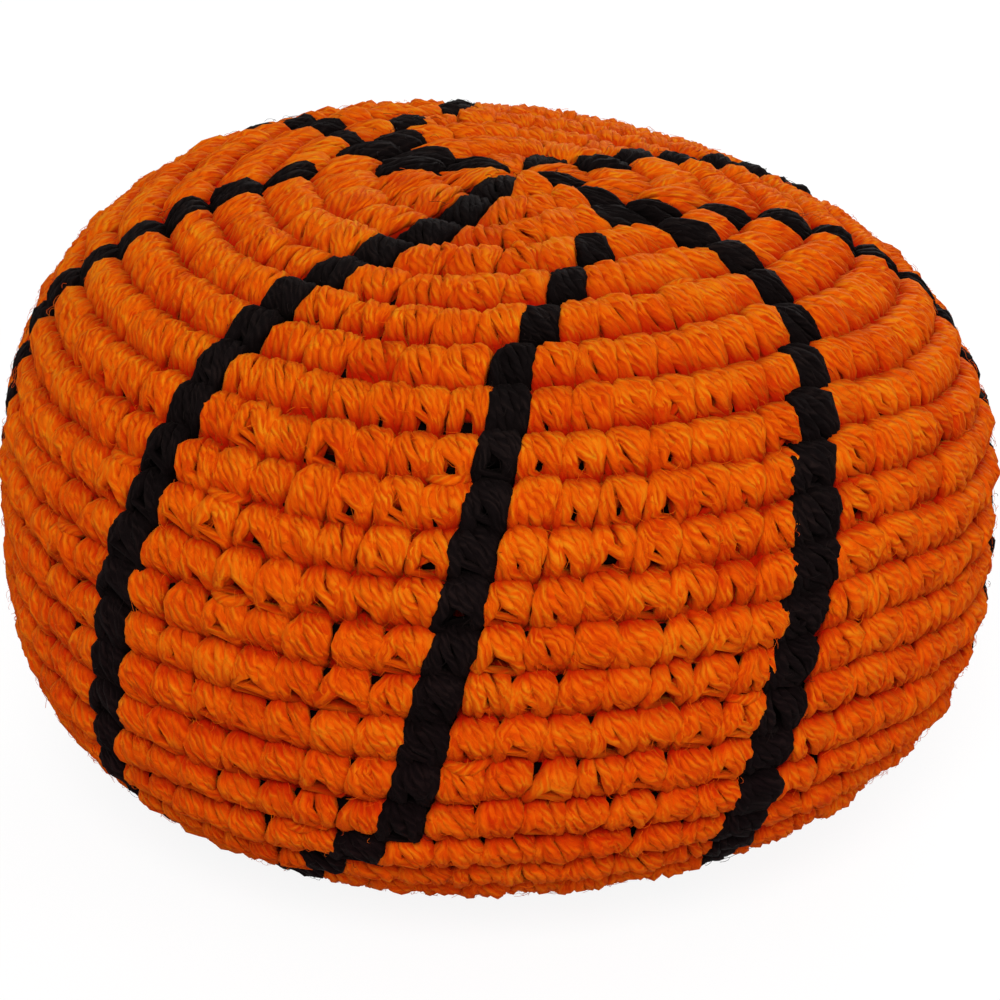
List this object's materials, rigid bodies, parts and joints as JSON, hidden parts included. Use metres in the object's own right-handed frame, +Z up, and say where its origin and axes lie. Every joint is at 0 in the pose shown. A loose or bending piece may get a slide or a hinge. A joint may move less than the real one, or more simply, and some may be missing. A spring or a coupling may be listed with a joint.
{
  "type": "footbag",
  "caption": "Crocheted footbag: a soft round bag in two yarns, filled with loose plastic pellets, kicked and caught in play.",
  "frame": {"origin": "middle of the footprint, on the surface that the footbag rests on", "axes": "+Z up through the crown, -Y towards the side that the picture shows, +X to that side's right"},
  "size_m": [0.056, 0.0569, 0.0351],
  "materials": {
    "orange_yarn": "matt, fuzzy",
    "black_yarn": "matt, fuzzy",
    "pellet_plastic": "translucent white"
  },
  "bodies": {
    "cover": {"crochet_cover": "orange_yarn", "black_line_front_left": "black_yarn", "black_line_front": "black_yarn", "black_line_front_right": "black_yarn", "black_line_right": "black_yarn", "black_line_back_right": "black_yarn", "black_line_back": "black_yarn", "black_line_back_left": "black_yarn", "black_line_left": "black_yarn", "start_ring": "orange_yarn", "closing_ring": "orange_yarn", "end_knot": "orange_yarn"},
    "filling": {"pellet_mass": "pellet_plastic"},
    "pellet_01_body": {"pellet_01": "pellet_plastic"},
    "pellet_02_body": {"pellet_02": "pellet_plastic"},
    "pellet_03_body": {"pellet_03": "pellet_plastic"},
    "pellet_04_body": {"pellet_04": "pellet_plastic"},
    "pellet_05_body": {"pellet_05": "pellet_plastic"},
    "pellet_06_body": {"pellet_06": "pellet_plastic"},
    "pellet_07_body": {"pellet_07": "pellet_plastic"},
    "pellet_08_body": {"pellet_08": "pellet_plastic"},
    "pellet_09_body": {"pellet_09": "pellet_plastic"},
    "pellet_10_body": {"pellet_10": "pellet_plastic"},
    "pellet_11_body": {"pellet_11": "pellet_plastic"},
    "pellet_12_body": {"pellet_12": "pellet_plastic"},
    "pellet_13_body": {"pellet_13": "pellet_plastic"},
    "pellet_14_body": {"pellet_14": "pellet_plastic"},
    "pellet_15_body": {"pellet_15": "pellet_plastic"},
    "pellet_16_body": {"pellet_16": "pellet_plastic"},
    "pellet_17_body": {"pellet_17": "pellet_plastic"},
    "pellet_18_body": {"pellet_18": "pellet_plastic"},
    "pellet_19_body": {"pellet_19": "pellet_plastic"},
    "pellet_20_body": {"pellet_20": "pellet_plastic"},
    "pellet_21_body": {"pellet_21": "pellet_plastic"},
    "pellet_22_body": {"pellet_22": "pellet_plastic"},
    "pellet_23_body": {"pellet_23": "pellet_plastic"},
    "pellet_24_body": {"pellet_24": "pellet_plastic"}
  },
  "joints": [
    {"name": "filling_shift", "type": "slide", "parent": "cover", "child": "filling", "axis": [0, 0, 1], "range_m": [0, 0.0015]},
    {"name": "pellet_01_hop", "type": "slide", "parent": "filling", "child": "pellet_01_body", "axis": [0, 0, 1], "range_m": [0, 0.001]},
    {"name": "pellet_02_hop", "type": "slide", "parent": "filling", "child": "pellet_02_body", "axis": [0, 0, 1], "range_m": [0, 0.001]},
    {"name": "pellet_03_hop", "type": "slide", "parent": "filling", "child": "pellet_03_body", "axis": [0, 0, 1], "range_m": [0, 0.001]},
    {"name": "pellet_04_hop", "type": "slide", "parent": "filling", "child": "pellet_04_body", "axis": [0, 0, 1], "range_m": [0, 0.001]},
    {"name": "pellet_05_hop", "type": "slide", "parent": "filling", "child": "pellet_05_body", "axis": [0, 0, 1], "range_m": [0, 0.001]},
    {"name": "pellet_06_hop", "type": "slide", "parent": "filling", "child": "pellet_06_body", "axis": [0, 0, 1], "range_m": [0, 0.001]},
    {"name": "pellet_07_hop", "type": "slide", "parent": "filling", "child": "pellet_07_body", "axis": [0, 0, 1], "range_m": [0, 0.001]},
    {"name": "pellet_08_hop", "type": "slide", "parent": "filling", "child": "pellet_08_body", "axis": [0, 0, 1], "range_m": [0, 0.001]},
    {"name": "pellet_09_hop", "type": "slide", "parent": "filling", "child": "pellet_09_body", "axis": [0, 0, 1], "range_m": [0, 0.001]},
    {"name": "pellet_10_hop", "type": "slide", "parent": "filling", "child": "pellet_10_body", "axis": [0, 0, 1], "range_m": [0, 0.001]},
    {"name": "pellet_11_hop", "type": "slide", "parent": "filling", "child": "pellet_11_body", "axis": [0, 0, 1], "range_m": [0, 0.001]},
    {"name": "pellet_12_hop", "type": "slide", "parent": "filling", "child": "pellet_12_body", "axis": [0, 0, 1], "range_m": [0, 0.001]},
    {"name": "pellet_13_hop", "type": "slide", "parent": "filling", "child": "pellet_13_body", "axis": [0, 0, 1], "range_m": [0, 0.001]},
    {"name": "pellet_14_hop", "type": "slide", "parent": "filling", "child": "pellet_14_body", "axis": [0, 0, 1], "range_m": [0, 0.001]},
    {"name": "pellet_15_hop", "type": "slide", "parent": "filling", "child": "pellet_15_body", "axis": [0, 0, 1], "range_m": [0, 0.001]},
    {"name": "pellet_16_hop", "type": "slide", "parent": "filling", "child": "pellet_16_body", "axis": [0, 0, 1], "range_m": [0, 0.001]},
    {"name": "pellet_17_hop", "type": "slide", "parent": "filling", "child": "pellet_17_body", "axis": [0, 0, 1], "range_m": [0, 0.001]},
    {"name": "pellet_18_hop", "type": "slide", "parent": "filling", "child": "pellet_18_body", "axis": [0, 0, 1], "range_m": [0, 0.001]},
    {"name": "pellet_19_hop", "type": "slide", "parent": "filling", "child": "pellet_19_body", "axis": [0, 0, 1], "range_m": [0, 0.001]},
    {"name": "pellet_20_hop", "type": "slide", "parent": "filling", "child": "pellet_20_body", "axis": [0, 0, 1], "range_m": [0, 0.001]},
    {"name": "pellet_21_hop", "type": "slide", "parent": "filling", "child": "pellet_21_body", "axis": [0, 0, 1], "range_m": [0, 0.001]},
    {"name": "pellet_22_hop", "type": "slide", "parent": "filling", "child": "pellet_22_body", "axis": [0, 0, 1], "range_m": [0, 0.001]},
    {"name": "pellet_23_hop", "type": "slide", "parent": "filling", "child": "pellet_23_body", "axis": [0, 0, 1], "range_m": [0, 0.001]},
    {"name": "pellet_24_hop", "type": "slide", "parent": "filling", "child": "pellet_24_body", "axis": [0, 0, 1], "range_m": [0, 0.001]}
  ]
}
